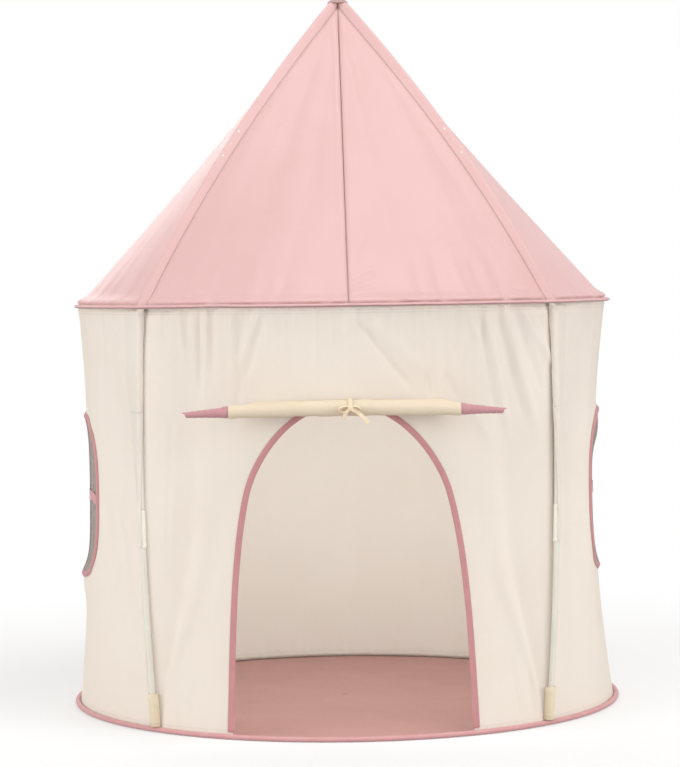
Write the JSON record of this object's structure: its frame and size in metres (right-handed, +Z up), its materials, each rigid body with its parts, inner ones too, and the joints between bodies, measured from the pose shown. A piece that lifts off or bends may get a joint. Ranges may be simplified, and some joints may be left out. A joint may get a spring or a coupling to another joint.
{
  "type": "play tent",
  "caption": "Round castle-shaped play tent with a peaked roof on jointed outer poles, mesh windows in its sides and an arched doorway with a rolled-up curtain.",
  "frame": {"origin": "middle of the tent's footprint, on the floor it stands on", "axes": "+Z up to the peak, -Y out of the doorway, +X to the right of someone who faces the doorway"},
  "size_m": [1.05, 1.061, 1.3502],
  "materials": {
    "floor_cloth": "dusty pink woven polyester",
    "pink_piping": "dusty pink woven tape",
    "hoop_steel": "flat spring steel",
    "cream_cloth": "cream woven polyester",
    "window_mesh": "grey mosquito mesh",
    "pink_cloth": "light pink satin polyester",
    "pole_plastic": "light grey fibreglass",
    "connector_plastic": "off-white moulded plastic",
    "ribbon_cloth": "cream-yellow woven polyester"
  },
  "bodies": {
    "tent": {"floor_sheet": "floor_cloth", "base_piping": "pink_piping", "base_hoop": "hoop_steel", "eave_piping": "pink_piping", "eave_hoop": "hoop_steel", "wall_front": "cream_cloth", "wall_rear": "cream_cloth", "wall_left": "cream_cloth", "wall_right": "cream_cloth", "door_binding": "pink_piping", "window_mesh_left": "window_mesh", "window_trim_left": "pink_piping", "window_mesh_right": "window_mesh", "window_trim_right": "pink_piping", "roof_front_left": "pink_cloth", "pole_front_left_lower_tube": "pole_plastic", "pole_front_left_upper_tube": "pole_plastic", "pole_front_left_roof_lower_tube": "pole_plastic", "pole_front_left_roof_upper_tube": "pole_plastic", "pole_front_left_mid_connector": "connector_plastic", "pole_front_left_roof_connector": "connector_plastic", "pole_front_left_eave_elbow": "connector_plastic", "sleeve_front_left": "ribbon_cloth", "foot_pocket_front_left": "ribbon_cloth", "roof_front_right": "pink_cloth", "pole_front_right_lower_tube": "pole_plastic", "pole_front_right_upper_tube": "pole_plastic", "pole_front_right_roof_lower_tube": "pole_plastic", "pole_front_right_roof_upper_tube": "pole_plastic", "pole_front_right_mid_connector": "connector_plastic", "pole_front_right_roof_connector": "connector_plastic", "pole_front_right_eave_elbow": "connector_plastic", "sleeve_front_right": "ribbon_cloth", "foot_pocket_front_right": "ribbon_cloth", "roof_rear_right": "pink_cloth", "pole_rear_right_lower_tube": "pole_plastic", "pole_rear_right_upper_tube": "pole_plastic", "pole_rear_right_roof_lower_tube": "pole_plastic", "pole_rear_right_roof_upper_tube": "pole_plastic", "pole_rear_right_mid_connector": "connector_plastic", "pole_rear_right_roof_connector": "connector_plastic", "pole_rear_right_eave_elbow": "connector_plastic", "sleeve_rear_right": "ribbon_cloth", "foot_pocket_rear_right": "ribbon_cloth", "roof_rear_left": "pink_cloth", "pole_rear_left_lower_tube": "pole_plastic", "pole_rear_left_upper_tube": "pole_plastic", "pole_rear_left_roof_lower_tube": "pole_plastic", "pole_rear_left_roof_upper_tube": "pole_plastic", "pole_rear_left_mid_connector": "connector_plastic", "pole_rear_left_roof_connector": "connector_plastic", "pole_rear_left_eave_elbow": "connector_plastic", "sleeve_rear_left": "ribbon_cloth", "foot_pocket_rear_left": "ribbon_cloth", "peak_cap": "pink_cloth", "door_tie": "ribbon_cloth"},
    "curtain": {"door_curtain": "ribbon_cloth"},
    "roll": {"door_roll": "ribbon_cloth", "roll_end_left": "pink_piping", "roll_end_right": "pink_piping"}
  },
  "joints": [
    {"name": "curtain_lower", "type": "slide", "parent": "tent", "child": "curtain", "axis": [0, 0, -1], "range_m": [0, 0.55], "deforming": ["door_curtain"]},
    {"name": "roll_turn", "type": "hinge", "parent": "curtain", "child": "roll", "pos_m": [0, -0.51172, 0.585], "axis": [1, 0, 0], "range_deg": [0, 2180]}
  ],
  "couplings": [
    {"joint": "roll_turn", "follows": "curtain_lower", "rad_per_m": 68.966}
  ]
}
